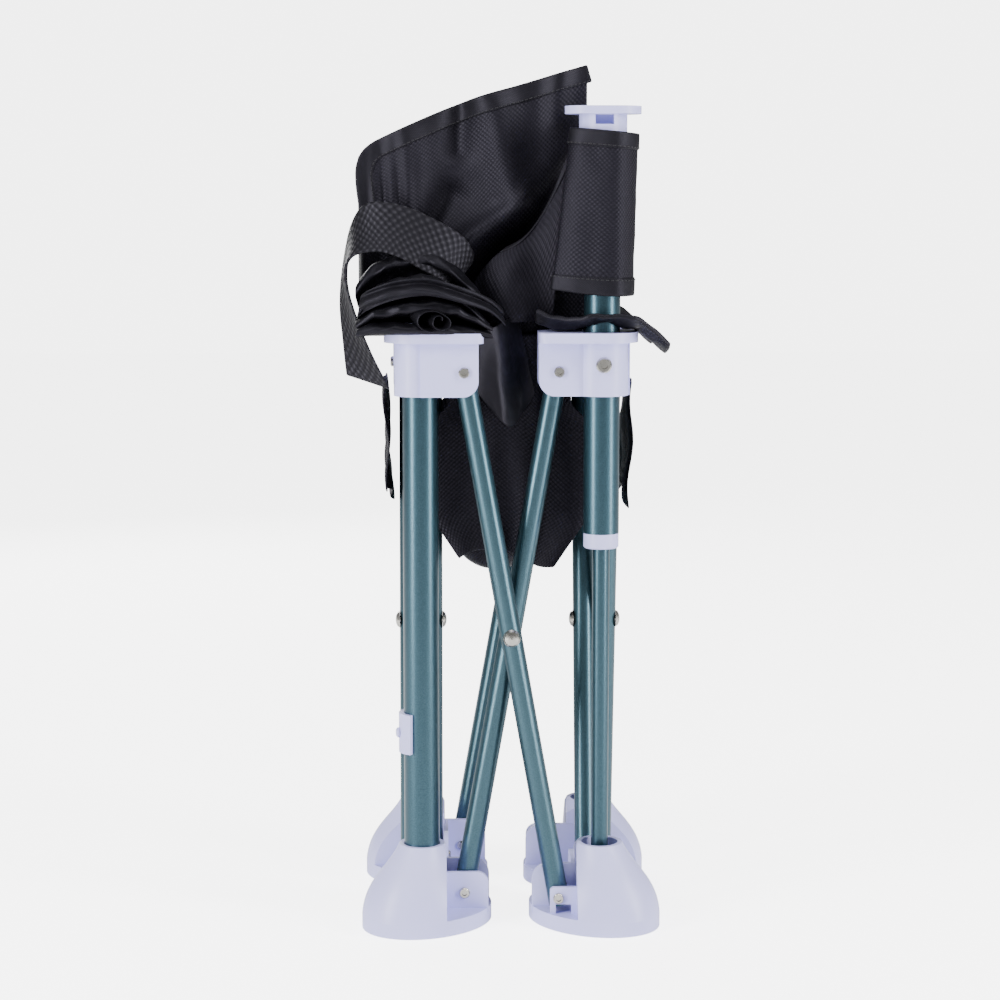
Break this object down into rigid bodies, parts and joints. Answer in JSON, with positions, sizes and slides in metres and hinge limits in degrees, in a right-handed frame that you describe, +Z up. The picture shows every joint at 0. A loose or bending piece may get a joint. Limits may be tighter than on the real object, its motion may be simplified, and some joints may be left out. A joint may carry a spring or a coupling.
{
  "type": "folding camp seat",
  "caption": "Folding child's camp seat, stored folded: four post legs, crossed bars on each side, sliding corner hubs, plastic feet and a black cloth seat with backrest and strap.",
  "frame": {"origin": "on the floor at the centre of the four posts", "axes": "+Z up, -Y out of the front face, -X out of the seat's back"},
  "size_m": [0.22, 0.22, 0.602],
  "materials": {
    "bar_paint": "dark green metallic",
    "post_paint": "dark green metallic",
    "seat_cloth": "woven polyester",
    "steel": "plated",
    "webbing": "woven webbing",
    "white_plastic": "moulded, satin"
  },
  "bodies": {
    "front_left_leg": {"front_left_foot": "white_plastic", "front_left_foot_screws": "steel", "front_left_post": "post_paint", "front_left_post_plug": "white_plastic", "front_left_stop_clip": "white_plastic", "front_left_gather": "seat_cloth", "carry_strap": "webbing", "backrest_front_wing": "seat_cloth"},
    "rear_left_leg": {"rear_left_foot": "white_plastic", "rear_left_foot_screws": "steel", "rear_left_post": "post_paint", "rear_left_post_plug": "white_plastic", "rear_left_stop_clip": "white_plastic", "rear_left_gather": "seat_cloth"},
    "front_right_leg": {"front_right_foot": "white_plastic", "front_right_foot_screws": "steel", "front_right_guide_rod": "post_paint"},
    "front_right_mast": {"front_right_hub": "white_plastic", "front_right_hub_screws": "steel", "front_right_post": "post_paint", "front_right_bush": "white_plastic", "front_right_cap": "white_plastic", "front_right_sleeve": "seat_cloth", "front_right_flap": "seat_cloth"},
    "rear_right_leg": {"rear_right_foot": "white_plastic", "rear_right_foot_screws": "steel", "rear_right_guide_rod": "post_paint"},
    "rear_right_mast": {"rear_right_hub": "white_plastic", "rear_right_hub_screws": "steel", "rear_right_post": "post_paint", "rear_right_bush": "white_plastic", "rear_right_cap": "white_plastic", "rear_right_sleeve": "seat_cloth", "rear_right_flap": "seat_cloth"},
    "front_left_slider": {"front_left_hub": "white_plastic", "front_left_hub_screws": "steel"},
    "rear_left_slider": {"rear_left_hub": "white_plastic", "rear_left_hub_screws": "steel"},
    "front_inner": {"front_inner_bar": "bar_paint", "front_rivet": "steel"},
    "front_outer": {"front_outer_bar": "bar_paint"},
    "right_inner": {"right_inner_bar": "bar_paint", "right_rivet": "steel"},
    "right_outer": {"right_outer_bar": "bar_paint"},
    "rear_inner": {"rear_inner_bar": "bar_paint", "rear_rivet": "steel"},
    "rear_outer": {"rear_outer_bar": "bar_paint"},
    "left_inner": {"left_inner_bar": "bar_paint", "left_rivet": "steel"},
    "left_outer": {"left_outer_bar": "bar_paint"},
    "seat_sling_a": {"seat_sling_a": "seat_cloth"},
    "seat_sling_b": {"seat_sling_b": "seat_cloth"},
    "front_skirt": {"front_skirt": "seat_cloth"},
    "rear_skirt": {"rear_skirt": "seat_cloth"},
    "left_skirt": {"left_skirt": "seat_cloth"},
    "right_skirt": {"right_skirt": "seat_cloth"},
    "front_arm": {"front_arm_cloth": "seat_cloth"},
    "rear_arm": {"rear_arm_cloth": "seat_cloth"},
    "backrest": {"backrest_rear_wing": "seat_cloth"}
  },
  "joints": [
    {"name": "fold", "type": "hinge", "parent": "front_left_leg", "child": "front_inner", "pos_m": [-0.033, -0.055, 0.022], "axis": [0, 1, 0], "range_deg": [0, 56.5]},
    {"name": "front_cross", "type": "hinge", "parent": "front_inner", "child": "front_outer", "pos_m": [0, -0.063, 0.2075], "axis": [0, 1, 0], "range_deg": [-113, 0]},
    {"name": "front_inner_top", "type": "hinge", "parent": "front_inner", "child": "front_right_mast", "pos_m": [0.033, -0.055, 0.393], "axis": [0, 1, 0], "range_deg": [-56.5, 0]},
    {"name": "front_outer_top", "type": "hinge", "parent": "front_outer", "child": "front_left_slider", "pos_m": [-0.033, -0.071, 0.393], "axis": [0, 1, 0], "range_deg": [0, 56.5]},
    {"name": "front_outer_foot", "type": "hinge", "parent": "front_outer", "child": "front_right_leg", "pos_m": [0.033, -0.071, 0.022], "axis": [0, 1, 0], "range_deg": [0, 56.5]},
    {"name": "left_outer_foot", "type": "hinge", "parent": "front_left_leg", "child": "left_outer", "pos_m": [-0.071, -0.033, 0.022], "axis": [1, 0, 0], "range_deg": [-56.5, 0]},
    {"name": "left_cross", "type": "hinge", "parent": "left_outer", "child": "left_inner", "pos_m": [-0.063, 0, 0.2075], "axis": [1, 0, 0], "range_deg": [0, 113]},
    {"name": "left_outer_top", "type": "hinge", "parent": "left_outer", "child": "rear_left_slider", "pos_m": [-0.071, 0.033, 0.393], "axis": [1, 0, 0], "range_deg": [0, 56.5]},
    {"name": "left_inner_foot", "type": "hinge", "parent": "left_inner", "child": "rear_left_leg", "pos_m": [-0.055, 0.033, 0.022], "axis": [1, 0, 0], "range_deg": [-56.5, 0]},
    {"name": "right_inner_foot", "type": "hinge", "parent": "front_right_leg", "child": "right_inner", "pos_m": [0.055, -0.033, 0.022], "axis": [-1, 0, 0], "range_deg": [0, 56.5]},
    {"name": "right_cross", "type": "hinge", "parent": "right_inner", "child": "right_outer", "pos_m": [0.063, 0, 0.2075], "axis": [-1, 0, 0], "range_deg": [-113, 0]},
    {"name": "right_inner_top", "type": "hinge", "parent": "right_inner", "child": "rear_right_mast", "pos_m": [0.055, 0.033, 0.393], "axis": [-1, 0, 0], "range_deg": [-56.5, 0]},
    {"name": "right_outer_foot", "type": "hinge", "parent": "right_outer", "child": "rear_right_leg", "pos_m": [0.071, 0.033, 0.022], "axis": [-1, 0, 0], "range_deg": [0, 56.5]},
    {"name": "rear_outer_foot", "type": "hinge", "parent": "rear_left_leg", "child": "rear_outer", "pos_m": [-0.033, 0.071, 0.022], "axis": [0, -1, 0], "range_deg": [-56.5, 0]},
    {"name": "rear_cross", "type": "hinge", "parent": "rear_outer", "child": "rear_inner", "pos_m": [0, 0.063, 0.2075], "axis": [0, -1, 0], "range_deg": [0, 113]},
    {"name": "sling_a_spread", "type": "slide", "parent": "front_left_slider", "child": "seat_sling_a", "axis": [0.7071, 0.7071, 0], "range_m": [0, 0.3959]},
    {"name": "sling_b_spread", "type": "slide", "parent": "front_right_mast", "child": "seat_sling_b", "axis": [-0.7071, 0.7071, 0], "range_m": [0, 0.3959]},
    {"name": "front_skirt_spread", "type": "slide", "parent": "front_left_slider", "child": "front_skirt", "axis": [1, 0, 0], "range_m": [0, 0.28]},
    {"name": "rear_skirt_spread", "type": "slide", "parent": "rear_left_slider", "child": "rear_skirt", "axis": [1, 0, 0], "range_m": [0, 0.28]},
    {"name": "left_skirt_spread", "type": "slide", "parent": "front_left_slider", "child": "left_skirt", "axis": [0, 1, 0], "range_m": [0, 0.28]},
    {"name": "right_skirt_spread", "type": "slide", "parent": "front_right_mast", "child": "right_skirt", "axis": [0, 1, 0], "range_m": [0, 0.28]},
    {"name": "front_arm_spread", "type": "slide", "parent": "front_left_leg", "child": "front_arm", "axis": [0.7844, 0, -0.6203], "range_m": [0, 0.35692]},
    {"name": "rear_arm_spread", "type": "slide", "parent": "rear_left_leg", "child": "rear_arm", "axis": [0.7844, 0, -0.6203], "range_m": [0, 0.35692]},
    {"name": "backrest_spread", "type": "slide", "parent": "front_left_leg", "child": "backrest", "axis": [0, 1, 0], "range_m": [0, 0.28]}
  ],
  "couplings": [
    {"joint": "front_cross", "follows": "fold", "ratio": -2},
    {"joint": "front_inner_top", "follows": "fold", "ratio": -1},
    {"joint": "front_outer_top", "follows": "fold", "ratio": 1},
    {"joint": "front_outer_foot", "follows": "fold", "ratio": 1},
    {"joint": "left_outer_foot", "follows": "fold", "ratio": -1},
    {"joint": "left_cross", "follows": "fold", "ratio": 2},
    {"joint": "left_outer_top", "follows": "fold", "ratio": 1},
    {"joint": "left_inner_foot", "follows": "fold", "ratio": -1},
    {"joint": "right_inner_foot", "follows": "fold", "ratio": 1},
    {"joint": "right_cross", "follows": "fold", "ratio": -2},
    {"joint": "right_inner_top", "follows": "fold", "ratio": -1},
    {"joint": "right_outer_foot", "follows": "fold", "ratio": 1},
    {"joint": "rear_outer_foot", "follows": "fold", "ratio": -1},
    {"joint": "rear_cross", "follows": "fold", "ratio": 2},
    {"joint": "sling_a_spread", "follows": "fold", "m_per_rad": 0.40127},
    {"joint": "sling_b_spread", "follows": "fold", "m_per_rad": 0.40127},
    {"joint": "front_skirt_spread", "follows": "fold", "m_per_rad": 0.28374},
    {"joint": "rear_skirt_spread", "follows": "fold", "m_per_rad": 0.28374},
    {"joint": "left_skirt_spread", "follows": "fold", "m_per_rad": 0.28374},
    {"joint": "right_skirt_spread", "follows": "fold", "m_per_rad": 0.28374},
    {"joint": "front_arm_spread", "follows": "fold", "m_per_rad": 0.36174},
    {"joint": "rear_arm_spread", "follows": "fold", "m_per_rad": 0.36174},
    {"joint": "backrest_spread", "follows": "fold", "m_per_rad": 0.28374}
  ]
}
